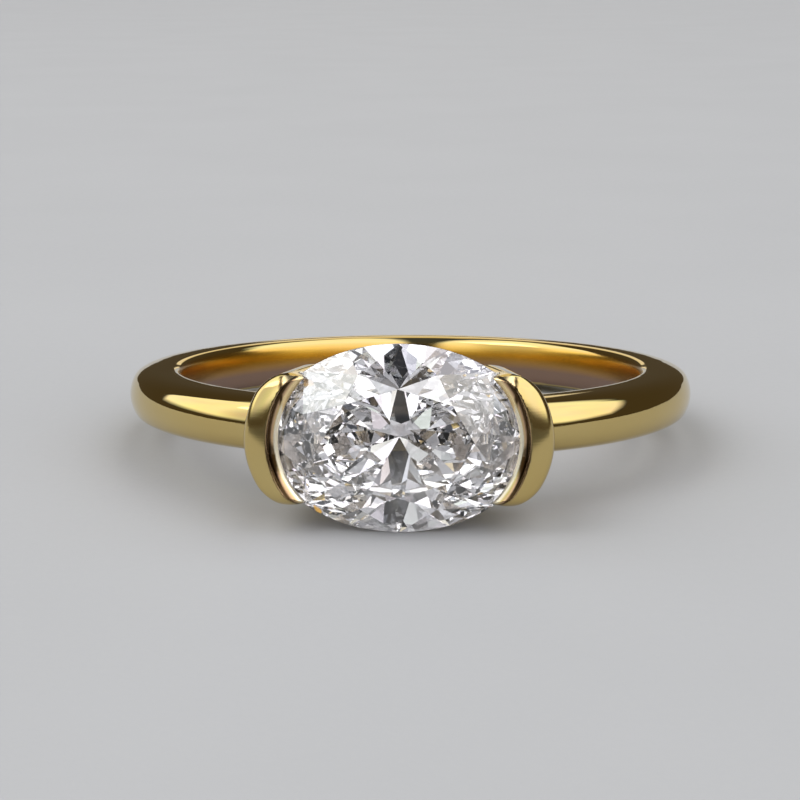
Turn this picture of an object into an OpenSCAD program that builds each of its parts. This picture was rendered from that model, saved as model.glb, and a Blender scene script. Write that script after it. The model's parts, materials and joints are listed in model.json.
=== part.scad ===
// An east-west half-bezel ring with one oval brilliant stone, lying on its side as it rests by itself.
// Millimetres. The finger axis is near Z, the stone faces -Y, and the ring mirrors about the plane X = 0.

/* [Band] */
// Inside diameter, which is the finger size
bore_d = 16.9; // [15:0.1:19]
// Radial thickness of the band at the crown of its domed outer face
band_t = 1.95; // [1.6:0.05:2.2]
// Width of the band along the finger
band_w = 1.84; // [1.6:0.02:2.2]
// How far the domed outer face stands past the band's flat sides
band_dome = 0.43; // [0.2:0.01:0.6]
// Rounding of the band's two inner edges
comfort_r = 0.25; // [0.1:0.05:0.3]

/* [Stone] */
// Length of the oval, along the band
stone_l = 8.4; // [8:0.1:8.8]
// Width of the oval, along the finger
stone_w = 6.0; // [5.8:0.1:6.2]
// Thickness of the girdle
girdle_t = 0.16; // [0.1:0.02:0.2]
// Height of the crown, from the girdle to the table
crown_h = 0.95; // [0.8:0.05:1]
// Depth of the pavilion, from the girdle to its point
pavilion_h = 2.45; // [2.2:0.05:2.5]
// Table size as a share of the stone
table_share = 0.57; // [0.52:0.01:0.62]

/* [Half bezel] */
// Gap between the stone's point and the finger
point_gap = 0.16; // [0.1:0.02:0.3]
// Length of the bezel over both end walls
bezel_l = 9.8; // [9.6:0.1:10.2]
// Width of each end wall along the finger
wall_w = 4.18; // [3.9:0.02:4.4]
// Height of the rim above the middle of the girdle
rim_h = 0.72; // [0.65:0.01:0.8]
// Width of the opening between the two lips, along the band
lip_l = 7.52; // [7.4:0.02:7.6]
// Lean of each end wall towards the stone's point, in degrees
wall_lean = 15; // [12:1:18]
// Height of the rails that join the two walls beside the stone's point
rail_h = 0.82; // [0.6:0.02:0.9]
// Gap between stone and metal
stone_gap = 0.04; // [0.03:0.01:0.06]

/* [Hidden] */
$fn = 96;
over = 1;
through = 12;
bore_r = bore_d / 2;
band_r = bore_r + band_t;
side_r = band_r - band_dome;
half_w = band_w / 2;
dome_r = (half_w * half_w + band_dome * band_dome) / (2 * band_dome);

// The stone is a round brilliant of radius round_r, narrowed in one direction by narrow.
round_r = stone_l / 2;
narrow = stone_w / stone_l;
table_r = round_r * table_share;
half_girdle = girdle_t / 2;
// Lower girdle facets reach from the girdle to this share of the radius.
low_share = 0.22;
// Distance from the finger axis to the middle of the girdle
girdle_at = bore_r + point_gap + pavilion_h + half_girdle;

// Half bezel, in a frame with its middle at the girdle and Z out of the ring. In plan each end wall's
// outer edge and inner edge are arcs about centres of their own.
bezel_r = bezel_l / 2;
outer_x = 1.93;
lip_r = lip_l / 2;
inner_x = 1.0;
lip_foot = 0.16;
bevel_foot = 0.2;
lip_t = 0.075;
lip_rise = 0.02;
bevel_r = lip_r + lip_foot + bevel_foot;
rim_round = 0.22;
rim_slope = 14;
wall_r = wall_w / 2;
wall_x = 3.6;
wall_z = 0.3;
wall_draft = 9;
// The seat is a 64-sided oval; above the girdle it rises seat_slope for each step inwards.
seat_slope = 0.62;
seat_depth = 3.1;
seat_sides = 64;
relief_r = bore_r + 0.25;
rail_top = relief_r + rail_h - girdle_at;
rail_w = 3.84;
rail_l = 5.2;
slot_l = 5.8;
slot_w = 2.5;

// It rests on the lowest point of the girdle and on the back of the band.
tilt = atan((stone_w / 2 - half_w) / (girdle_at - half_girdle + side_r));
front = (girdle_at + half_girdle + crown_h) * cos(tilt) + table_r * narrow * sin(tilt);
back = (band_r - dome_r) * cos(tilt) + dome_r;
lift = stone_w / 2 * cos(tilt) - (girdle_at - half_girdle) * sin(tilt);

function arc(cx, cy, r, from, to, steps) =
    [for (i = [0:steps]) let (a = from + (to - from) * i / steps) [cx + r * cos(a), cy + r * sin(a)]];

module at_rest() {
    translate([0, (front - back) / 2, lift]) rotate([-tilt, 0, 0]) children();
}

module at_stone() {
    translate([0, -girdle_at, 0]) rotate([90, 0, 0]) children();
}

// Flat sides, rounded inner edges and a domed outer face
module band() {
    edge_r = bore_r + comfort_r;
    edge_y = half_w - comfort_r;
    rotate_extrude($fn = 144) {
        intersection() {
            translate([edge_r, -half_w]) square([band_t, band_w]);
            translate([band_r - dome_r, 0]) circle(r = dome_r);
        }
        translate([bore_r, -edge_y]) square([2 * comfort_r, 2 * edge_y]);
        for (side = [-1, 1]) translate([edge_r, side * edge_y]) circle(r = comfort_r, $fn = 32);
    }
}

// Outer form of one end of the bezel: a softly sloped rim, rounded over into a wall that draws in
// towards the finger
module bezel_form() {
    low = girdle_at - bore_r + over;
    side_z = rim_h - (bezel_r - bevel_r) * tan(rim_slope) - rim_round;
    shoulder = arc(bezel_r - outer_x - rim_round, side_z, rim_round, 0, 90 - rim_slope, 6);
    translate([outer_x, 0, 0]) rotate_extrude() polygon(concat(
        [[0, -low], [bezel_r - outer_x - (low + side_z) * tan(wall_draft), -low]],
        shoulder,
        [[bevel_r - outer_x, rim_h], [0, rim_h]]));
}

// What the rim stands round: a bevel that falls to a thin lip over the stone's edge
module opening() {
    r = lip_r - inner_x;
    top = half_girdle + stone_gap + (round_r + stone_gap - lip_r) * seat_slope + lip_t;
    translate([inner_x, 0, 0]) rotate_extrude() polygon([
        [0, 0], [r, 0], [r, top], [r + lip_foot, top + lip_rise],
        [r + lip_foot + bevel_foot, rim_h], [r + lip_foot + bevel_foot, rim_h + over], [0, rim_h + over]]);
}

// Each end wall is a leaning round column cut from the bezel's form.
module end_walls() {
    for (side = [0, 1]) mirror([side, 0, 0]) difference() {
        intersection() {
            bezel_form();
            translate([wall_x, 0, wall_z]) rotate([0, wall_lean, 0]) cylinder(r = wall_r, h = through, center = true);
        }
        opening();
    }
}

// The stone's seat, a little larger than the stone, and the round-ended slot behind it
module seat() {
    r = round_r + stone_gap;
    z = half_girdle + stone_gap;
    turns = [0:360 / seat_sides:359];
    corners = concat(
        [cut(0, 0, -seat_depth), cut(0, 0, z + r * seat_slope)],
        [for (a = turns) cut(a, r, -z)],
        [for (a = turns) cut(a, r, z)]);
    hull() polyhedron(corners, [for (i = [2:len(corners) - 1]) [i - 2, i - 1, i]]);
    translate([0, 0, bore_r - over - girdle_at]) linear_extrude(girdle_at - bore_r + over) {
        square([slot_l - slot_w, slot_w], center = true);
        for (side = [-1, 1]) translate([side * (slot_l - slot_w) / 2, 0]) circle(d = slot_w);
    }
}

module rails() {
    translate([-rail_l / 2, -rail_w / 2, rail_top - rail_h - over]) cube([rail_l, rail_w, rail_h + over]);
}

// One solid of soldered metal
module setting() {
    color([0.86, 0.68, 0.32]) at_rest() difference() {
        union() {
            band();
            difference() {
                at_stone() {
                    end_walls();
                    rails();
                }
                cylinder(r = relief_r, h = through, center = true, $fn = 144);
            }
        }
        at_stone() seat();
    }
}

// A point of the stone at azimuth a of the round brilliant, radius r and height z
function cut(a, r, z) = [r * cos(a), narrow * r * sin(a), z];

// How far a girdle facet that rises slope for each step inwards drops where the girdle bulges past its chord
function scallop(a, slope) = slope * round_r * (cos((a % 22.5) - 11.25) - cos(11.25));

// The corners of an oval brilliant: 8 mains, 8 stars and 16 girdle facets above, 8 mains and 16 below
module stone() {
    step = 45;
    c_half = cos(step / 2);
    c_quarter = cos(step / 4);
    top = half_girdle + crown_h;
    // star facets reach half-way from the table's edge to the girdle
    star_r = (table_r * c_half + round_r) / 2;
    star_z = half_girdle + crown_h * (round_r - star_r * c_half) / (round_r - table_r);
    crown_slope = (star_z - half_girdle) / (round_r - star_r) / c_quarter;
    low_r = low_share * round_r;
    low_z = -half_girdle - pavilion_h * (1 - low_r * c_half / round_r);
    low_slope = (-half_girdle - low_z) / (round_r - low_r) / c_quarter;
    turns = [0:step:359];
    rim = [0:step / 8:359];
    corners = concat(
        [for (a = turns) cut(a, table_r, top)],
        [for (a = turns) cut(a + step / 2, star_r, star_z)],
        [for (a = rim) cut(a, round_r, half_girdle - scallop(a, crown_slope))],
        [for (a = rim) cut(a, round_r, scallop(a, low_slope) - half_girdle)],
        [for (a = turns) cut(a + step / 2, low_r, low_z)],
        [cut(0, 0, -half_girdle - pavilion_h)]);
    color([0.93, 0.95, 0.98]) at_rest() at_stone() hull()
        polyhedron(corners, [for (i = [2:len(corners) - 1]) [i - 2, i - 1, i]]);
}

setting();
stone();
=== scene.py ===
"""Dresses an oval stone ring in polished gold and a cut stone, and lays it in a plain studio.

It is laid out as an add-on and run as a script. Lengths in the panel are in metres; the shape functions
below work in millimetres, in the ring's own frame: the finger axis is Z and the stone faces -Y.
"""

import json
import math
from types import SimpleNamespace

import bmesh
import bpy
import numpy as np
from bpy.props import FloatProperty, FloatVectorProperty, PointerProperty
from mathutils import Matrix, Vector


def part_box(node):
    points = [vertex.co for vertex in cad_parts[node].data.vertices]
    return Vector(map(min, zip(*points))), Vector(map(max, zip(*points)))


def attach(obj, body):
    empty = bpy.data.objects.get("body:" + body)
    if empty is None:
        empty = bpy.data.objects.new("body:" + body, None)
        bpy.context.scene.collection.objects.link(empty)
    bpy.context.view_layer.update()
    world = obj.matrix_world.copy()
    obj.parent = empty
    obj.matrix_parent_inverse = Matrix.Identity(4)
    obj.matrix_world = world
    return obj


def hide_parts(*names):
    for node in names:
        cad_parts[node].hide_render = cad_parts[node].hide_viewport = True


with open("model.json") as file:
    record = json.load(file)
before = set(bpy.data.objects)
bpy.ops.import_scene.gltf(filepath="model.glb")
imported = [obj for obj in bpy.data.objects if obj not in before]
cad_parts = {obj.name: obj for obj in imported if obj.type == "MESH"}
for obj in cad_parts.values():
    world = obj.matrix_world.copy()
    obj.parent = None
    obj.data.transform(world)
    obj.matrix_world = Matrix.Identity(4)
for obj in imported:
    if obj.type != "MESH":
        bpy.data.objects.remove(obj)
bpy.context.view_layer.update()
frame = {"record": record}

bl_info = {
    "name": "Oval Half-Bezel Ring",
    "version": (1, 0, 0),
    "blender": (4, 5, 0),
    "location": "3D View > Sidebar > Ring",
    "description": "Builds an east-west oval ring in gold with a brilliant stone and a plain studio",
    "category": "Object",
}

MM = 0.001
BORE = frame["record"]["mounts"][0]
BORE_R = BORE["dims"]["r_mm"] * MM
STONE_LOW, STONE_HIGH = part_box("stone")
STONE_L = STONE_HIGH.x - STONE_LOW.x


def ring_frame():
    """The ring's own frame in the scene: its centre, with Z along the finger and X along the stone."""
    z = Vector(BORE["axis"]).normalized()
    x = Vector((1, 0, 0))
    y = z.cross(x)
    turn = Matrix((x, y, z)).transposed().to_4x4()
    return Matrix.Translation(Vector(BORE["pos_m"])) @ turn


def length(name, about, default):
    """A length of the object, in metres."""
    return FloatProperty(
        name=name, description=about, default=default, min=0, unit="LENGTH", precision=5
    )


def colour(name, about, default):
    """A colour that a user may change."""
    return FloatVectorProperty(
        name=name, description=about, default=default, min=0, max=1, subtype="COLOR", size=3
    )


class BandSizes(bpy.types.PropertyGroup):
    """Sizes of the plain shank."""

    bore_r: length("Bore radius", "Inside radius of the band", BORE_R)
    band_t: length("Thickness", "Radial thickness at the crown of the dome", 0.00195)
    band_w: length("Width", "Width of the band along the finger", 0.00184)
    band_dome: length("Dome", "How far the outer face stands past the flat sides", 0.00043)
    comfort_r: length("Inner rounding", "Rounding of the two inner edges", 0.00025)
    side_round: length("Outer rounding", "Rounding where the dome meets the flat sides", 0.0003)


class BezelSizes(bpy.types.PropertyGroup):
    """Sizes of the two end walls and of the rails behind the stone."""

    bezel_l: length("Length", "Length over both end walls", 0.0098)
    lip_l: length("Lip opening", "Width of the opening between the two lips", 0.00752)
    wall_w: length("Wall width", "Width of each end wall along the finger", 0.00424)
    rim_h: length("Rim height", "Height of the rim above the middle of the girdle", 0.00072)
    rim_round: length("Rim rounding", "Rounding of the rim's outer edge", 0.00022)
    rail_h: length("Rail height", "Height of the rails beside the stone's point", 0.00082)
    stone_gap: length("Stone gap", "Gap between stone and metal", 0.00004)


class StoneSizes(bpy.types.PropertyGroup):
    """Sizes of the oval brilliant."""

    stone_l: length("Length", "Length of the oval along the band", STONE_L)
    stone_w: length("Width", "Width of the oval along the finger", 0.006)
    girdle_t: length("Girdle", "Thickness of the girdle", 0.00016)
    crown_h: length("Crown", "Height from the girdle to the table", 0.00095)
    pavilion_h: length("Pavilion", "Depth from the girdle to the point", 0.00245)
    point_gap: length("Point gap", "Gap between the stone's point and the finger", 0.00016)
    table_share: FloatProperty(name="Table", description="Table size as a share of the stone", default=0.57)


class RingColours(bpy.types.PropertyGroup):
    """Colours of the metal, the stone and the studio."""

    gold: colour("Gold", "Colour of the polished gold", (0.64, 0.5, 0.21))
    gold_deep: colour("Deep gold", "Slightly redder gold where the alloy varies", (0.63, 0.475, 0.185))
    # Painted reflection: the bore is the same gold as outside, painted a deeper, redder tone for the gold
    # and dark it mirrors
    gold_bore: colour("Bore gold", "Deeper gold of the softly finished bore", (0.62, 0.33, 0.03))
    # Painted shade: the lower part of the bore painted dark, standing in for the dark floor it mirrors
    gold_low: colour("Low bore gold", "Duller gold towards the lower edge of the bore", (0.27, 0.18, 0.135))
    gold_seat: colour("Seat gold", "Paler gold where the seat is burnished", (0.9, 0.84, 0.74))
    # Painted highlight: the lip is painted near white so that it shows as a bright line
    gold_lip: colour("Lip gold", "Bright cream gold of the burnished lip", (1.0, 0.92, 0.7))
    # Painted highlight: the pads are painted a brighter, warmer gold than the rest
    gold_pad: colour("Pad gold", "Warm gold of the crescents' flat upper pads", (1.0, 0.78, 0.42))
    # Painted shade: the shelf is painted a darker, browner gold for the dark it would mirror
    gold_shelf: colour("Shelf gold", "Duller gold of the shelf between rim and lip", (0.56, 0.37, 0.22))
    # Painted shade: a near-black line painted down in the crease and along the pads' edge, where shade
    # falls
    gold_crease: colour("Crease gold", "Dark gold down in the crease along the rim", (0.06, 0.035, 0.015))
    stone: colour("Stone", "Tint of the clear stone", (0.985, 0.97, 1.0))
    floor: colour("Floor", "Colour of the studio floor", (0.465, 0.47, 0.485))
    # Painted shadow on the floor in front of the ring, there for the gold and the stone to mirror as dark
    floor_painted_shadow: colour("Floor shade", "Dark floor in front of the picture", (0.06, 0.06, 0.06))


def in_mm(*groups):
    """The sizes of the property groups as plain numbers in millimetres; shares stay as they are."""
    sizes = SimpleNamespace()
    for group in groups:
        for name in group.__annotations__:
            value = getattr(group, name)
            setattr(sizes, name, value if name.endswith("share") else value / MM)
    return sizes


# Shape functions. Each gives a signed distance, negative inside, for arrays of points in millimetres.


def both(a, b, r):
    """Where a and b overlap, with the edge between them rounded to radius r."""
    return np.minimum(np.maximum(a, b), -r) + np.hypot(np.maximum(a + r, 0), np.maximum(b + r, 0))


def either(a, b, r):
    """Where a or b is, with a fillet of radius r between them."""
    return np.maximum(np.minimum(a, b), r) - np.hypot(np.maximum(r - a, 0), np.maximum(r - b, 0))


BORE_CROWN_R = 3.6


def band_shape(s, x, y, z):
    """The shank: flat sides, a domed outer face and a slightly crowned bore with rounded edges."""
    half_w = s.band_w / 2
    band_r = s.bore_r + s.band_t
    dome_r = (half_w**2 + s.band_dome**2) / (2 * s.band_dome)
    r = np.hypot(x, y)
    crown = np.hypot(r - s.bore_r - BORE_CROWN_R, z) - BORE_CROWN_R
    inner = both(np.abs(z) - half_w, crown, s.comfort_r)
    dome = np.hypot(r - (band_r - dome_r), z) - dome_r
    return both(inner, dome, s.side_round)


# Centres of the arcs that the bezel's outer and inner edges follow in plan
OUTER_X = 1.93
INNER_X = 1.0
# The opening's profile: a lip, a shelf and a step up to the rim, by their widths and rises
LIP_T = 0.05
LIP_FOOT = 0.14
BEVEL_FOOT = 0.22
LIP_RISE = math.radians(38)
SHELF_RISE = math.radians(15)
STEP_RISE = math.radians(68)
# Roundings, and the fillet where the head meets the band
STEP_ROUND = 0.03
LIP_ROUND = 0.05
EDGE_ROUND = 0.08
END_ROUND = 0.45
FILLET = 0.1
# The rim is an arc that starts this steep at its inner edge
RIM_DOME_R = 1.5
RIM_START = math.radians(6)
# The bezel has its full length at this height, and draws in below it
DRAFT_TOP = 0.3
WALL_DRAFT = math.radians(9)
# Each wall is cut to a round column that leans towards the stone's point
WALL_LEAN = math.radians(15)
WALL_X = 3.6
WALL_Z = 0.3
# The seat's slope above the girdle and its depth below it
SEAT_SLOPE = 0.62
SEAT_DEPTH = 3.1
# How far the head stays clear of the bore, and the rails and the slot behind the stone
RELIEF = 0.25
RAIL_W = 3.84
RAIL_L = 5.2
SLOT_L = 5.8
SLOT_W = 2.5
SLOT_DEPTH = 4
# The line where the crescents' end pads begin: its turn and distance for the pocket, its place for the rim
PAD_TURN = math.radians(58)
PAD_AT = 3.386
PAD_U = 3.65
# A distance that is well outside any shape
FAR_OFF = 1.0


def girdle_distance(s):
    """How far the middle of the girdle is from the finger axis."""
    return s.bore_r + s.point_gap + s.pavilion_h + s.girdle_t / 2


def in_head(s, x, y, z):
    """Points of the ring's frame in the stone's: along the band, along the finger and out of the ring."""
    return np.abs(x), np.abs(z), -y - girdle_distance(s)


def bezel_form(s, u, v, w):
    """Outer form of one end of the bezel: a gently domed rim rounded over into a drafted wall."""
    bevel_q = s.lip_l / 2 + LIP_FOOT + BEVEL_FOOT - OUTER_X
    wall_q = s.bezel_l / 2 - OUTER_X
    q = np.hypot(u - OUTER_X, v)
    side = (q - wall_q + (DRAFT_TOP - w) * math.tan(WALL_DRAFT)) * math.cos(WALL_DRAFT)
    dome_q = bevel_q - RIM_DOME_R * math.sin(RIM_START)
    dome_w = s.rim_h - RIM_DOME_R * math.cos(RIM_START)
    rim = np.hypot(q - dome_q, w - dome_w) - RIM_DOME_R
    return both(side, rim, s.rim_round)


def plane(q, w, at, rise):
    """Distance above a cone through a point of the profile, which rises outwards at an angle."""
    return (q - at[0]) * math.sin(rise) - (w - at[1]) * math.cos(rise)


def opening_planes(s, u, v, w):
    """Signed distances of what the rim stands round: hole, lip, shelf, step and the pocket's end."""
    q = np.hypot(u - INNER_X, v)
    hole_r = s.lip_l / 2 - INNER_X
    seat_r = s.stone_l / 2 + s.stone_gap
    lip_w = s.girdle_t / 2 + s.stone_gap + (seat_r - s.lip_l / 2) * SEAT_SLOPE + LIP_T
    fold = (hole_r + LIP_FOOT, lip_w + LIP_FOOT * math.tan(LIP_RISE))
    lip = plane(q, w, fold, LIP_RISE)
    shelf = plane(q, w, fold, SHELF_RISE)
    step = plane(q, w, (hole_r + LIP_FOOT + BEVEL_FOOT, s.rim_h), STEP_RISE)
    end = u * math.cos(PAD_TURN) + v * math.sin(PAD_TURN) - PAD_AT
    return q - hole_r, lip, shelf, step, end


def opening(s, u, v, w):
    """What the rim stands round: a small step, a shelf that falls inwards and a steep thin lip."""
    hole, lip, shelf, step, end = opening_planes(s, u, v, w)
    pocket = either(both(shelf, step, STEP_ROUND), lip, LIP_ROUND)
    pocket = both(pocket, end, LIP_ROUND)
    return either(pocket, np.maximum(hole, -w), LIP_ROUND)


def seat(s, u, v, w):
    """The stone's seat, a little larger than the stone, and the round-ended slot behind it."""
    narrow = s.stone_w / s.stone_l
    r = s.stone_l / 2 + s.stone_gap
    half = s.girdle_t / 2 + s.stone_gap
    q = np.hypot(u, v / narrow)
    fall = (SEAT_DEPTH - half) / r
    above = (w - half + (q - r) * SEAT_SLOPE) / math.hypot(1, SEAT_SLOPE)
    below = (-w - half + (q - r) * fall) / math.hypot(1, fall)
    girdle = (q - r) * narrow
    cup = np.maximum(np.maximum(above, below), girdle)
    slot = np.maximum(np.hypot(np.maximum(u - (SLOT_L - SLOT_W) / 2, 0), v) - SLOT_W / 2, w)
    return np.maximum(either(cup, slot, EDGE_ROUND), -w - SLOT_DEPTH)


def end_wall(s, u, v, w):
    """One crescent wall: a leaning round column cut from the bezel's form."""
    along = (u - WALL_X) * math.sin(WALL_LEAN) + (w - WALL_Z) * math.cos(WALL_LEAN)
    across_u = u - WALL_X - along * math.sin(WALL_LEAN)
    across_w = w - WALL_Z - along * math.cos(WALL_LEAN)
    column = np.sqrt(across_u**2 + v**2 + across_w**2) - s.wall_w / 2
    wall = both(bezel_form(s, u, v, w), column, END_ROUND)
    return both(wall, -opening(s, u, v, w), LIP_ROUND)


def setting_shape(s, x, y, z):
    """The soldered metal: band, end walls and rails, less the seat."""
    u, v, w = in_head(s, x, y, z)
    relief_r = s.bore_r + RELIEF
    rail_top = relief_r + s.rail_h - girdle_distance(s)
    rails = both(both(w - rail_top, v - RAIL_W / 2, EDGE_ROUND), u - RAIL_L / 2, EDGE_ROUND)
    head = either(end_wall(s, u, v, w), rails, FILLET)
    head = both(head, relief_r - np.hypot(x, y), EDGE_ROUND)
    head = np.where(y < 0, head, FAR_OFF)
    metal = either(band_shape(s, x, y, z), head, FILLET)
    return both(metal, -seat(s, u, v, w), LIP_ROUND)


def surface_net(field, turns, radii, heights):
    """Points and quads of a field's zero surface, sampled round the finger axis."""
    axes = (np.append(turns, turns[0] + 2 * math.pi), radii, heights)
    value = np.empty([len(a) for a in axes])
    r, z = np.meshgrid(radii, heights, indexing="ij")
    for i, turn in enumerate(axes[0]):
        value[i] = field(r * math.sin(turn), -r * math.cos(turn), z)
    inside = value < 0
    cells = np.array(value.shape) - 1
    corners = [(a, b, c) for a in (0, 1) for b in (0, 1) for c in (0, 1)]
    count = sum(
        inside[a : a + cells[0], b : b + cells[1], c : c + cells[2]].astype(np.int8) for a, b, c in corners
    )
    mixed = (count > 0) & (count < 8)
    cell = np.argwhere(mixed)
    number = np.full(mixed.shape, -1)
    number[mixed] = np.arange(len(cell))

    total = np.zeros((len(cell), 3))
    hits = np.zeros(len(cell))
    for start in corners:
        for axis in range(3):
            if start[axis]:
                continue
            a = cell + start
            b = a.copy()
            b[:, axis] += 1
            value_a, value_b = value[tuple(a.T)], value[tuple(b.T)]
            crossed = (value_a < 0) != (value_b < 0)
            share = value_a[crossed] / (value_a[crossed] - value_b[crossed])
            spot = np.stack([axes[n][a[crossed, n]] for n in range(3)], 1)
            spot[:, axis] += share * (axes[axis][b[crossed, axis]] - spot[:, axis])
            total[crossed] += spot
            hits += crossed
    turn, r, z = (total / hits[:, None]).T
    points = np.stack([r * np.sin(turn), -r * np.cos(turn), z], 1)

    quads = []
    for axis in range(3):
        near = [slice(0, cells[0]), slice(1, cells[1]), slice(1, cells[2])]
        near[axis] = slice(0, cells[axis])
        far = list(near)
        far[axis] = slice(1, cells[axis] + 1)
        edge = np.argwhere(inside[tuple(near)] != inside[tuple(far)]) + [n.start for n in near]
        b, c = [n for n in range(3) if n != axis]
        ring = []
        for back_b, back_c in ((1, 1), (0, 1), (0, 0), (1, 0)):
            at = edge.copy()
            at[:, b] -= back_b
            at[:, c] -= back_c
            ring.append(number[tuple(at.T)])
        quads.append(np.stack(ring, 1))
    return points, np.concatenate(quads)


TINY = 1e-9
LEAST_SLOPE = 0.2


def slope(field, points, step=0.003):
    """The field's gradient at each point."""
    out = np.empty_like(points)
    for axis in range(3):
        shift = np.zeros(3)
        shift[axis] = step
        out[:, axis] = (field(*(points + shift).T) - field(*(points - shift).T)) / (2 * step)
    return out


def settled(field, points, rounds=5, longest=0.03):
    """The points, moved along the gradient until they lie on the surface."""
    for _ in range(rounds):
        way = slope(field, points)
        move = -field(*points.T)[:, None] * way / np.maximum((way**2).sum(1), LEAST_SLOPE)[:, None]
        size = np.linalg.norm(move, axis=1, keepdims=True)
        points = points + move * np.minimum(1, longest / np.maximum(size, TINY))
    return points


def grid_turns(head_turn, fine, coarse):
    """Angles round the ring, close together over the head and wider apart over the plain band."""
    head = np.arange(-head_turn, head_turn, fine)
    count = round((2 * math.pi - 2 * head_turn) / coarse)
    rest = np.linspace(head_turn, 2 * math.pi - head_turn, count, endpoint=False)
    return np.append(head, rest)


def linked(name, mesh):
    """A new object that holds the mesh, in the scene."""
    piece = bpy.data.objects.new(name, mesh)
    bpy.context.scene.collection.objects.link(piece)
    return piece


# Node trees and materials


class Nodes:
    """A node tree, with short calls to add and join its nodes."""

    # How ranged moves a value from end to end
    course = "LINEAR"

    def __init__(self, owner):
        owner.use_nodes = True
        self.tree = owner.node_tree

    def add(self, kind, **values):
        """A node whose sockets or settings are set by name."""
        node = self.tree.nodes.new("ShaderNode" + kind)
        for name, value in values.items():
            socket = node.inputs.get(name.replace("_", " ")) if name[0].isupper() else None
            if socket is None:
                setattr(node, name, value)
            else:
                socket.default_value = value
        return node

    def join(self, value, socket):
        """Links a socket to another, or sets it to a plain value."""
        if isinstance(value, bpy.types.NodeSocket):
            self.tree.links.new(value, socket)
        else:
            socket.default_value = value

    def mixed(self, colour, other, share):
        """A colour that turns into another as share goes from 0 to 1."""
        node = self.add("Mix", data_type="RGBA")
        self.join(colour, node.inputs[6])
        self.join((*other, 1), node.inputs[7])
        self.join(share, node.inputs[0])
        return node.outputs[2]

    def ranged(self, value, seen, given):
        """The value moved from one range into another."""
        node = self.add("MapRange", interpolation_type=self.course)
        for name, number in zip(("From Min", "From Max", "To Min", "To Max"), (*seen, *given)):
            node.inputs[name].default_value = number
        self.join(value, node.inputs["Value"])
        return node.outputs["Result"]


class Finish(Nodes):
    """The nodes of a new material."""

    def __init__(self, name):
        self.material = bpy.data.materials.new(name)
        super().__init__(self.material)
        self.shader = self.tree.nodes["Principled BSDF"]

    def place(self, scale, stretch=(1, 1, 1)):
        """Object coordinates at a scale, in features a metre."""
        coordinates = self.add("TexCoord")
        mapping = self.add("Mapping", Scale=[scale * n for n in stretch])
        self.join(coordinates.outputs["Object"], mapping.inputs["Vector"])
        return mapping.outputs["Vector"]

    def noise(self, scale, detail, stretch=(1, 1, 1)):
        """A noise value at a scale, in features a metre."""
        node = self.add("TexNoise", Scale=1.0, Detail=detail)
        self.join(self.place(scale, stretch), node.inputs["Vector"])
        return node.outputs["Fac"]

    def mark(self, name):
        """How much a point carries a mark of the mesh, from 0 to 1."""
        return self.add("Attribute", attribute_name=name).outputs["Fac"]

    def bumped(self, grain, strength, distance):
        """A bump node with a noise of this grain as its height."""
        node = self.add("Bump", Strength=strength, Distance=distance)
        self.join(self.noise(*grain), node.inputs["Height"])
        return node


def mark_finish(mesh, name, depth, over):
    """Marks each point of a mesh from 0 to 1 as its depth goes from 0 to over, for a material to read."""
    mark = mesh.attributes.new(name, "FLOAT", "POINT")
    mark.data.foreach_set("value", np.clip(depth / over, 0, 1).astype(np.float32))


# The gold's marks, each with a tone of its own that lies over the ones before it. Every tone but the seat's
# is painted light: a painted reflection in the bore, painted shade low in the bore, on the shelf and in the
# crease, and painted highlights on the lip and pads
MARKS = ("bore", "low", "seat", "lip", "pad", "shelf", "crease")
# What each softly finished mark adds to the roughness
SATIN = {"bore": 0.2, "seat": 0.22, "lip": 0.14, "pad": 0.14, "rim": 0.08}
# A grain is a noise's scale in features a metre, its detail and its stretch. A span is the part of its
# values that is used, and a bump its strength and its height in metres.
ALLOY_GRAIN = (240, 3)
ALLOY_SPAN = (0.35, 0.7)
STREAK_GRAIN = (500, 5, (1, 1, 4))
STREAK_SPAN = (0.3, 0.75)
LINE_GRAIN = (6000, 4, (0.12, 0.12, 2.5))
LINE_BUMP = (0.05, 0.00001)
SWELL_GRAIN = (420, 2)
SWELL_BUMP = (0.1, 0.0001)
# Roughness of the polished gold
GOLD_GLOSS = (0.025, 0.06)


def gold_finish(colours):
    """Polished gold: a drift of colour, the marks' tones (mostly painted reflection, shade and highlights),
    wiped streaks in the gloss and hair-fine polishing lines.
    """
    nodes = Finish("polished_gold")
    shader = nodes.shader
    shader.inputs["Metallic"].default_value = 1.0
    alloy = nodes.ranged(nodes.noise(*ALLOY_GRAIN), ALLOY_SPAN, (0, 1))
    tone = nodes.mixed((*colours.gold, 1), colours.gold_deep, alloy)
    for name in MARKS:
        tone = nodes.mixed(tone, getattr(colours, "gold_" + name), nodes.mark(name))
    nodes.join(tone, shader.inputs["Base Color"])
    gloss = nodes.ranged(nodes.noise(*STREAK_GRAIN), STREAK_SPAN, GOLD_GLOSS)
    for name, dullness in SATIN.items():
        satin = nodes.add("Math", operation="MULTIPLY_ADD")
        for value, socket in zip((nodes.mark(name), dullness, gloss), satin.inputs):
            nodes.join(value, socket)
        gloss = satin.outputs[0]
    nodes.join(gloss, shader.inputs["Roughness"])
    lines = nodes.bumped(LINE_GRAIN, *LINE_BUMP)
    swell = nodes.bumped(SWELL_GRAIN, *SWELL_BUMP)
    nodes.join(lines.outputs["Normal"], swell.inputs["Normal"])
    nodes.join(swell.outputs["Normal"], shader.inputs["Normal"])
    return nodes.material


STONE_INDEX = 2.65
# Roughness of the facets' haze and of the ground girdle, with their grains
HAZE = (0.0, 0.004)
HAZE_GRAIN = (900, 4)
HAZE_SPAN = (0.4, 0.7)
GRIND = (0.12, 0.3)
GRIND_GRAIN = (9000, 3, (1, 1, 3))
GRIND_SPAN = (0.3, 0.7)


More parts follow.
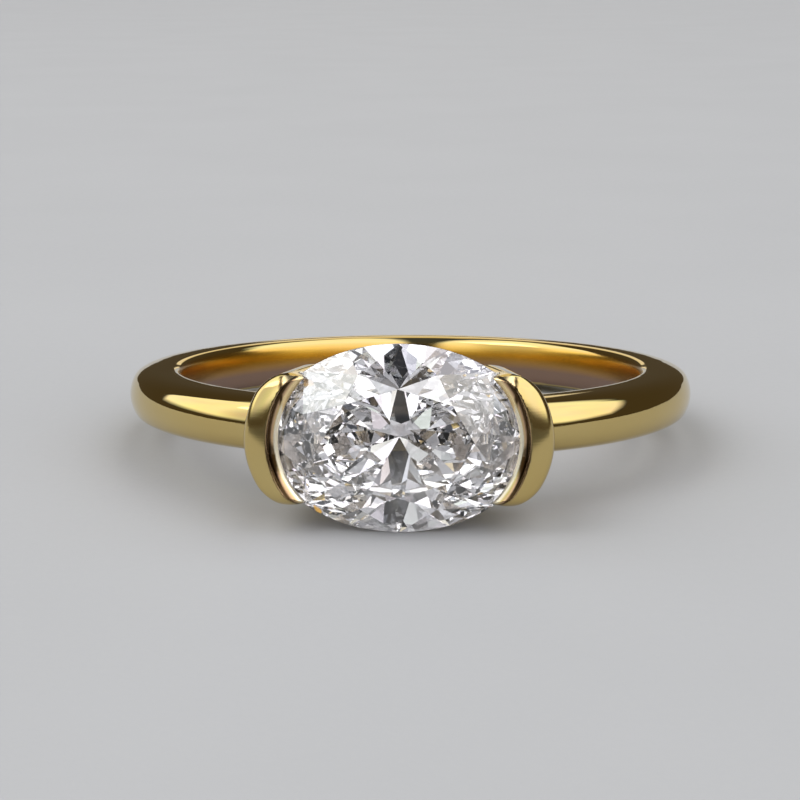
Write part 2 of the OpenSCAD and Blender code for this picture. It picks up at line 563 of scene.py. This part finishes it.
def clear_finish(name, tint, grain, span, dullness):
    """Clear stone whose dullness varies over it with a noise of its own grain."""
    nodes = Finish(name)
    shader = nodes.shader
    shader.inputs["Base Color"].default_value = (*tint, 1)
    shader.inputs["Transmission Weight"].default_value = 1.0
    shader.inputs["IOR"].default_value = STONE_INDEX
    nodes.join(nodes.ranged(nodes.noise(*grain), span, dullness), shader.inputs["Roughness"])
    return nodes.material


def facet_finish(colours):
    """Polished facets with a hair of haze."""
    return clear_finish("clear_stone", colours.stone, HAZE_GRAIN, HAZE_SPAN, HAZE)


def girdle_finish(colours):
    """The girdle's fine-ground edge, duller than the facets."""
    return clear_finish("ground_girdle", colours.stone, GRIND_GRAIN, GRIND_SPAN, GRIND)


PAPER_GRAIN = (60, 4)
# How much of its brightness the paper keeps in its darker flecks
PAPER_TONE = 0.94
PAPER_SPECULAR = 0.15
PAPER_DULL = (0.75, 0.9)
DULL_GRAIN = (3000, 3)
DULL_SPAN = (0.3, 0.7)
TOOTH_GRAIN = (5200, 4)
TOOTH_BUMP = (0.15, 0.00004)
# Painted shadow: the floor is painted dark in a circle whose edge is 32 mm in front of the ring's middle,
# for the metal and the stone to mirror
SHADE_AT = (0, -0.532, 0)
SHADE_R = 0.5
SHADE_SOFT = 0.016


def floor_finish(colours):
    """Matt pale paper with a fine tooth, with a painted shadow in front of the picture."""
    nodes = Finish("pale_paper")
    shader = nodes.shader
    shader.inputs["Specular IOR Level"].default_value = PAPER_SPECULAR
    darker = [PAPER_TONE * n for n in colours.floor]
    tone = nodes.mixed((*colours.floor, 1), darker, nodes.noise(*PAPER_GRAIN))
    far = nodes.add("VectorMath", operation="DISTANCE")
    nodes.join(nodes.place(1), far.inputs[0])
    far.inputs[1].default_value = SHADE_AT
    # How much of the painted shadow each point takes: 1 inside the circle, 0 past its edge
    shade = nodes.ranged(far.outputs["Value"], (SHADE_R - SHADE_SOFT, SHADE_R), (1, 0))
    nodes.join(nodes.mixed(tone, colours.floor_painted_shadow, shade), shader.inputs["Base Color"])
    dull = nodes.ranged(nodes.noise(*DULL_GRAIN), DULL_SPAN, PAPER_DULL)
    nodes.join(dull, shader.inputs["Roughness"])
    tooth = nodes.bumped(TOOTH_GRAIN, *TOOTH_BUMP)
    nodes.join(tooth.outputs["Normal"], shader.inputs["Normal"])
    return nodes.material


# Pieces

# The grid that the setting is sampled on: angles, cells, and how far past the rim it reaches
HEAD_TURN = math.radians(31)
HEAD_STEP = math.radians(0.27)
BAND_STEP = math.radians(3)
CELL = 0.05
FINE_CELL = 0.042
GRID_MARGIN = 1.2
# How deep the bore's satin finish and its painted reflection tone reach, how much deeper towards the stone,
# and over what distance they fade
BORE_MARK = 0.2
BORE_LEAN = 0.012
BORE_FADE = 0.1
# Height below which the bore is painted darker, a painted shade
LOW_START = 0.25
LOW_FADE = 0.5
# How far the seat's finish reaches
SEAT_MARK = 0.22
SEAT_FADE = 0.04
# Height above which rims, pads, lips and shelves are marked (the pad, lip and shelf marks carry painted
# highlights and painted shade), and the distance over which they fade
RIM_LOW = 0.4
EDGE_FADE = 0.05
# The painted crease shade: its place inside the step, its half width and its fade
CREASE_IN = 0.03
CREASE_HALF = 0.062
CREASE_FADE = 0.03
NO_MARK = -1.0


def setting_surface(s):
    """Points, quads and normals of the whole setting, in the ring's frame."""

    def field(x, y, z):
        return setting_shape(s, x, y, z)

    shoulder = s.bore_r + s.band_t + 2 * CELL
    reach = s.bore_r + s.point_gap + s.pavilion_h + s.rim_h + GRID_MARGIN
    in_band = np.arange(s.bore_r - 2 * CELL, shoulder, CELL)
    radii = np.append(in_band, np.arange(shoulder, reach, FINE_CELL))
    half = s.wall_w / 2 + 3 * CELL
    heights = np.linspace(-half, half, 2 * round(half / CELL))
    points, quads = surface_net(field, grid_turns(HEAD_TURN, HEAD_STEP, BAND_STEP), radii, heights)
    points = settled(field, points)
    normals = slope(field, points)
    normals /= np.maximum(np.linalg.norm(normals, axis=1, keepdims=True), TINY)
    corner = points[quads]
    facing = np.cross(corner[:, 2] - corner[:, 0], corner[:, 3] - corner[:, 1])
    turned = (facing * normals[quads].sum(1)).sum(1) < 0
    quads[turned] = quads[turned][:, ::-1]
    return points, quads, normals


def mark_setting(mesh, s, points):
    """Marks the setting's faces for their finishes and for painted reflection, shade and highlights: bore,
    seat, and the parts of the rims.
    """
    x, y, z = points.T
    # The bore's mark: real satin roughness, and a painted reflection tone
    bore = s.bore_r + BORE_MARK - BORE_LEAN * y - np.hypot(x, y)
    mark_finish(mesh, "bore", bore, BORE_FADE)
    # Painted shade: darker towards the bore's lower edge
    mark_finish(mesh, "low", np.where(bore > 0, LOW_START - z, 0), LOW_FADE)

    head = in_head(s, x, y, z)
    mark_finish(mesh, "seat", SEAT_MARK - seat(s, *head), SEAT_FADE)

    hole, lip, shelf, step, end = opening_planes(s, *head)
    outside = (y > 0) | (head[2] < RIM_LOW)
    pocket = np.where(outside, NO_MARK, EDGE_FADE - end)
    mark_finish(mesh, "rim", np.where(outside, NO_MARK, np.minimum(step, head[0] - PAD_U)), EDGE_FADE)
    # Painted highlight on the crescents' upper pads
    mark_finish(mesh, "pad", np.where(outside | (z < 0), NO_MARK, PAD_U - head[0]), EDGE_FADE)
    # Painted highlight on the lip
    on_lip = np.minimum(LIP_FOOT - hole, EDGE_FADE - np.abs(lip))
    mark_finish(mesh, "lip", np.minimum(pocket, on_lip), EDGE_FADE)
    # Painted shade on the shelf
    on_shelf = np.minimum(hole - LIP_FOOT, np.minimum(EDGE_FADE - step, 2 * EDGE_FADE - np.abs(shelf)))
    mark_finish(mesh, "shelf", np.minimum(pocket, on_shelf), EDGE_FADE)

    # Painted shade: a dark line in the crease and along the pad's inner edge
    crease = np.minimum(pocket, CREASE_HALF - np.abs(step + CREASE_IN))
    pad_line = np.where(outside | (z < 0), NO_MARK, CREASE_HALF - np.abs(head[0] - PAD_U))
    pad_line = np.minimum(pad_line, hole - LIP_FOOT)
    mark_finish(mesh, "crease", np.maximum(crease, pad_line), CREASE_FADE)


class RING_OT_setting(bpy.types.Operator):
    """Builds the gold band, its two crescent walls and the rails as one closed mesh."""

    bl_idname = "ring.setting"
    bl_label = "Gold setting"

    def execute(self, context):
        scene = context.scene
        sizes = in_mm(scene.ring_band, scene.ring_bezel, scene.ring_stone)
        points, quads, normals = setting_surface(sizes)
        place = ring_frame()
        mesh = bpy.data.meshes.new("gold_setting")
        mesh.from_pydata(points * MM, [], quads.tolist())
        mesh.transform(place)
        mesh.shade_smooth()
        turn = np.array(place.to_3x3())
        mesh.normals_split_custom_set_from_vertices(normals @ turn.T)
        mark_setting(mesh, sizes, points)
        mesh.materials.append(gold_finish(scene.ring_colours))
        piece = linked("gold_setting", mesh)
        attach(piece, "root")
        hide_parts("setting")
        return {"FINISHED"}


# The stone's mains, and the girdle corners for each of them
MAINS = 8
RIM_STEPS = 8
# Lower girdle facets reach from the girdle to this share of the radius
LOW_SHARE = 0.22
# Hull faces closer than this angle are one facet
SAME_FACET = math.radians(0.2)
# A facet is the girdle's where its normal leans less than this out of the girdle's plane
GIRDLE_LEAN = 0.05


def stone_corners(s):
    """Corners of an oval brilliant, in a frame with Z out of the ring and its middle at the girdle."""
    round_r = s.stone_l / 2
    narrow = s.stone_w / s.stone_l
    half = s.girdle_t / 2
    table_r = round_r * s.table_share
    top = half + s.crown_h
    step = 2 * math.pi / MAINS
    c_half = math.cos(step / 2)
    c_quarter = math.cos(step / 4)
    star_r = (table_r * c_half + round_r) / 2
    star_z = half + s.crown_h * (round_r - star_r * c_half) / (round_r - table_r)
    crown_slope = (star_z - half) / (round_r - star_r) / c_quarter
    low_r = LOW_SHARE * round_r
    low_z = -half - s.pavilion_h * (1 - low_r * c_half / round_r)
    low_slope = (-half - low_z) / (round_r - low_r) / c_quarter

    def cut(a, r, z):
        return Vector((r * math.cos(a), narrow * r * math.sin(a), z))

    def scallop(a, rise):
        return rise * round_r * (math.cos(a % (step / 2) - step / 4) - c_quarter)

    corners = [cut(0, 0, -half - s.pavilion_h)]
    for i in range(MAINS):
        corners.append(cut(i * step, table_r, top))
        corners.append(cut((i + 0.5) * step, star_r, star_z))
        corners.append(cut((i + 0.5) * step, low_r, low_z))
    for i in range(MAINS * RIM_STEPS):
        a = i * step / RIM_STEPS
        corners.append(cut(a, round_r, half - scallop(a, crown_slope)))
        corners.append(cut(a, round_r, scallop(a, low_slope) - half))
    return corners


class RING_OT_stone(bpy.types.Operator):
    """Cuts the oval brilliant stone."""

    bl_idname = "ring.stone"
    bl_label = "Oval stone"

    def execute(self, context):
        scene = context.scene
        sizes = in_mm(scene.ring_band, scene.ring_bezel, scene.ring_stone)
        shape = bmesh.new()
        for corner in stone_corners(sizes):
            shape.verts.new(corner)
        bmesh.ops.convex_hull(shape, input=shape.verts)
        loose = [v for v in shape.verts if not v.link_faces]
        bmesh.ops.delete(shape, geom=loose, context="VERTS")
        bmesh.ops.dissolve_limit(shape, angle_limit=SAME_FACET, verts=shape.verts, edges=shape.edges)
        bmesh.ops.recalc_face_normals(shape, faces=shape.faces)
        for face in shape.faces:
            face.smooth = False
            face.material_index = int(abs(face.normal.z) < GIRDLE_LEAN)
        shift = Matrix.Translation((0, -girdle_distance(sizes) * MM, 0))
        to_ring = shift @ Matrix.Rotation(math.pi / 2, 4, "X")
        mesh = bpy.data.meshes.new("oval_stone")
        shape.transform(ring_frame() @ to_ring @ Matrix.Scale(MM, 4))
        shape.to_mesh(mesh)
        shape.free()
        mesh.materials.append(facet_finish(scene.ring_colours))
        mesh.materials.append(girdle_finish(scene.ring_colours))
        piece = linked("oval_stone", mesh)
        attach(piece, "root")
        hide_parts("stone")
        return {"FINISHED"}


# Studio. The camera's place is about the ring's centre, in the ring's own frame.

CAMERA_TURN = math.radians(1.85)
CAMERA_RISE = math.radians(8.24)
CAMERA_FAR = 0.067816
CAMERA_LENS = 81.26
CAMERA_SENSOR = 36
CAMERA_CLIP = (0.001, 10)
PICTURE = 800
CENTRE_AT = (410.46, 387.76)
FLOOR_HALF = 1.5
KEY_AT = (-0.35, -0.15, 0.45)
KEY_SIZE = 0.3
KEY_GLOW = 1.6
STONE_BOUNCES = 20


def camera_back():
    """The way from the ring to the camera, in the ring's own frame."""
    level = math.cos(CAMERA_RISE)
    return Vector((math.sin(CAMERA_TURN) * level, -math.cos(CAMERA_TURN) * level, math.sin(CAMERA_RISE)))


def add_camera():
    """The camera at the photograph's place and angle."""
    back = camera_back()
    right = Vector((math.cos(CAMERA_TURN), math.sin(CAMERA_TURN), 0))
    turn = Matrix((right, back.cross(right), back)).transposed().to_4x4()
    data = bpy.data.cameras.new("camera")
    data.lens = CAMERA_LENS
    data.sensor_width = CAMERA_SENSOR
    data.shift_x = (PICTURE / 2 - CENTRE_AT[0]) / PICTURE
    data.shift_y = (CENTRE_AT[1] - PICTURE / 2) / PICTURE
    data.clip_start, data.clip_end = CAMERA_CLIP
    camera = bpy.data.objects.new("camera", data)
    camera.matrix_world = ring_frame() @ Matrix.Translation(back * CAMERA_FAR) @ turn
    bpy.context.scene.collection.objects.link(camera)
    bpy.context.scene.camera = camera


def add_key():
    """The one light: a soft square one at the upper left, facing the ring."""
    data = bpy.data.lights.new("key", "AREA")
    data.shape = "SQUARE"
    data.size = KEY_SIZE
    data.energy = KEY_GLOW * math.pi * KEY_SIZE**2
    light = bpy.data.objects.new("key", data)
    turn = Vector(KEY_AT).to_track_quat("Z", "Y").to_matrix().to_4x4()
    light.matrix_world = Matrix.Translation(KEY_AT) @ turn
    bpy.context.scene.collection.objects.link(light)


# The tent. X, Y and Z are the parts of a direction in the scene: right, back and up.

# How bright the tent is at its left and right, and the X from which it is fully so
TENT_LEFT = 1.72
TENT_RIGHT = 1.66
TENT_SIDE = 0.8
# How far the tent's colour drifts in all, and the scale of the drift's noise
TENT_DRIFT = 0.36
DRIFT_SCALE = 3.0
# The dark hem low down, as (turn from straight behind by way of the left, Z of the hem)
HEM = (
    (0, 0.72),
    (0.12, 0.7),
    (0.17, 0.13),
    (0.24, 0.12),
    (0.32, 0.09),
    (0.38, 0.12),
    (0.62, 0.12),
    (0.68, 0.09),
    (0.75, 0.15),
    (0.84, 0.6),
    (1, 0.72),
)
HEM_COLOUR = (0.08, 0.062, 0.037)
# The tent is dark up to the first of these above the hem, and fully lit from the second
HEM_FADE = (-0.03, 0.12)
# A dim gap overhead: its middle, half width and soft edge along X, and the share of light it takes away
GAP_AT = -0.08
GAP_HALF = 0.09
GAP_SOFT = 0.11
GAP_DARK = 0.95
GAP_TINT = (0.85, 0.93, 1.1)
# A dimmer part at the front left
DIM_WAY = (-0.8, -0.5, 0.38)
DIM_ANGLE = math.radians(16)
DIM_SOFT = math.radians(12)
DIM_DARK = 0.42
# The dark round opening that the camera looks through
LENS_ANGLE = math.radians(13)
LENS_SOFT = math.radians(2)
# Two lit panes behind the ring, each as middle and half width along X, then lowest and highest Z
PANES = ((-0.037, 0.065, -1.0, 0.029), (-0.02, 0.08, 0.08, 0.8))
PANE_SOFT = 0.01
PANE_COLOUR = (1.0, 0.86, 0.58)


class Sky(Nodes):
    """The nodes of a new world, with the direction of view and its parts."""

    course = "SMOOTHSTEP"

    def __init__(self, name):
        self.world = bpy.data.worlds.new(name)
        super().__init__(self.world)
        self.look = self.add("TexCoord").outputs["Generated"]
        split = self.add("SeparateXYZ")
        self.join(self.look, split.inputs[0])
        self.x, self.y, self.z = split.outputs

    def worked(self, operation, *values):
        """The result of a sum with sockets and plain numbers."""
        node = self.add("Math", operation=operation)
        for value, socket in zip(values, node.inputs):
            self.join(value, socket)
        return node.outputs[0]

    def product(self, *values):
        """All the values multiplied."""
        result = values[0]
        for value in values[1:]:
            result = self.worked("MULTIPLY", result, value)
        return result

    def rest(self, value):
        """1 less the value."""
        return self.worked("SUBTRACT", 1.0, value)

    def scaled(self, colour, share):
        """A colour made brighter or darker."""
        node = self.add("VectorMath", operation="SCALE")
        self.join(colour, node.inputs[0])
        self.join(share, node.inputs["Scale"])
        return node.outputs[0]

    def brightest(self, *colours):
        """The most of each channel of the colours."""
        result = colours[0]
        for colour in colours[1:]:
            node = self.add("VectorMath", operation="MAXIMUM")
            self.join(result, node.inputs[0])
            self.join(colour, node.inputs[1])
            result = node.outputs[0]
        return result

    def near(self, way, angle, soft):
        """1 within an angle of a direction, falling softly to 0."""
        node = self.add("VectorMath", operation="DOT_PRODUCT")
        self.join(self.look, node.inputs[0])
        node.inputs[1].default_value = way.normalized()
        edge = (math.cos(angle + soft), math.cos(angle - soft))
        return self.ranged(node.outputs["Value"], edge, (0, 1))

    def strip(self, at, half, soft):
        """1 within half of a place along X, falling softly to 0."""
        off = self.worked("ABSOLUTE", self.worked("SUBTRACT", self.x, at))
        return self.ranged(off, (half, half + soft), (1, 0))

    def pane(self, at, half, low, top):
        """1 in an upright rectangle of directions, seen along Y, falling softly to 0."""
        above = self.ranged(self.z, (low - PANE_SOFT, low + PANE_SOFT), (0, 1))
        below = self.ranged(self.z, (top - PANE_SOFT, top + PANE_SOFT), (1, 0))
        return self.product(self.strip(at, half, 2 * PANE_SOFT), self.worked("MINIMUM", above, below))

    def over_hem(self):
        """1 above the hem, falling softly to 0."""
        around = self.worked("ARCTAN2", self.x, self.worked("MULTIPLY", self.y, -1.0))
        turn = self.worked("ADD", self.worked("DIVIDE", around, 2 * math.pi), 0.5)
        ramp = self.add("ValToRGB")
        stops = ramp.color_ramp.elements
        for _ in HEM[2:]:
            stops.new(0.5)
        for stop, (at, level) in zip(stops, HEM):
            stop.position = at
            stop.color = (level, level, level, 1)
        self.join(turn, ramp.inputs["Fac"])
        return self.ranged(self.worked("SUBTRACT", self.z, ramp.outputs["Color"]), HEM_FADE, (0, 1))

    def drift(self):
        """White that drifts softly to other tints and back."""
        noise = self.add("TexNoise", Scale=DRIFT_SCALE)
        self.join(self.look, noise.inputs["Vector"])
        node = self.add("VectorMath", operation="MULTIPLY_ADD")
        self.join(noise.outputs["Color"], node.inputs[0])
        node.inputs[1].default_value = [TENT_DRIFT] * 3
        node.inputs[2].default_value = [1 - TENT_DRIFT / 2] * 3
        return node.outputs[0]


def add_tent(scene):
    """A white tent round the ring, with the dark and lit parts that the metal and the stone mirror."""
    sky = Sky("tent")
    lit = sky.over_hem()
    gap = sky.strip(GAP_AT, GAP_HALF, GAP_SOFT)
    clear = sky.rest(sky.near(ring_frame().to_3x3() @ camera_back(), LENS_ANGLE, LENS_SOFT))
    dim = sky.near(Vector(DIM_WAY), DIM_ANGLE, DIM_SOFT)
    level = sky.product(
        lit,
        sky.ranged(sky.x, (-TENT_SIDE, TENT_SIDE), (TENT_LEFT, TENT_RIGHT)),
        sky.rest(sky.product(gap, GAP_DARK)),
        sky.rest(sky.product(dim, DIM_DARK)),
        clear,
    )
    panes = sky.worked("MAXIMUM", *[sky.pane(*values) for values in PANES])
    light = sky.brightest(
        sky.scaled(sky.mixed(sky.drift(), GAP_TINT, gap), level),
        sky.scaled(HEM_COLOUR, sky.product(clear, sky.rest(lit))),
        sky.scaled(PANE_COLOUR, sky.product(panes, sky.worked("GREATER_THAN", sky.y, 0.0))),
    )
    sky.join(light, sky.tree.nodes["Background"].inputs["Color"])
    scene.world = sky.world


class RING_OT_stage(bpy.types.Operator):
    """Lays the floor and sets the tent, the light and the camera."""

    bl_idname = "ring.stage"
    bl_label = "Studio"

    def execute(self, context):
        scene = context.scene
        shape = bmesh.new()
        corners = ((-1, -1), (1, -1), (1, 1), (-1, 1))
        shape.faces.new([shape.verts.new((x * FLOOR_HALF, y * FLOOR_HALF, 0)) for x, y in corners])
        mesh = bpy.data.meshes.new("floor")
        shape.to_mesh(mesh)
        shape.free()
        mesh.materials.append(floor_finish(scene.ring_colours))
        linked("floor", mesh)

        add_tent(scene)
        add_key()
        add_camera()
        scene.view_settings.view_transform = "Standard"
        scene.cycles.max_bounces = STONE_BOUNCES
        scene.cycles.glossy_bounces = STONE_BOUNCES
        scene.cycles.transmission_bounces = STONE_BOUNCES
        return {"FINISHED"}


class RING_PT_panel(bpy.types.Panel):
    """The ring's sizes, colours and pieces."""

    bl_label = "Oval ring"
    bl_idname = "RING_PT_panel"
    bl_space_type = "VIEW_3D"
    bl_region_type = "UI"
    bl_category = "Ring"

    def draw(self, context):
        layout = self.layout
        for group in SETTINGS:
            box = layout.box()
            values = getattr(context.scene, group)
            for name in values.__annotations__:
                box.prop(values, name)
        for operator in OPERATORS:
            layout.operator(operator.bl_idname)


SETTINGS = {
    "ring_band": BandSizes,
    "ring_bezel": BezelSizes,
    "ring_stone": StoneSizes,
    "ring_colours": RingColours,
}
OPERATORS = (RING_OT_stage, RING_OT_setting, RING_OT_stone)


def register():
    """Adds the settings, the operators and the panel."""
    for name, group in SETTINGS.items():
        bpy.utils.register_class(group)
        setattr(bpy.types.Scene, name, PointerProperty(type=group))
    for kind in (*OPERATORS, RING_PT_panel):
        bpy.utils.register_class(kind)


def unregister():
    """Takes away what register added."""
    for kind in (RING_PT_panel, *reversed(OPERATORS)):
        bpy.utils.unregister_class(kind)
    for name, group in reversed(SETTINGS.items()):
        delattr(bpy.types.Scene, name)
        bpy.utils.unregister_class(group)


def main():
    """Builds the scene."""
    register()
    for operator in OPERATORS:
        family, name = operator.bl_idname.split(".")
        getattr(getattr(bpy.ops, family), name)()


if __name__ == "__main__":
    main()
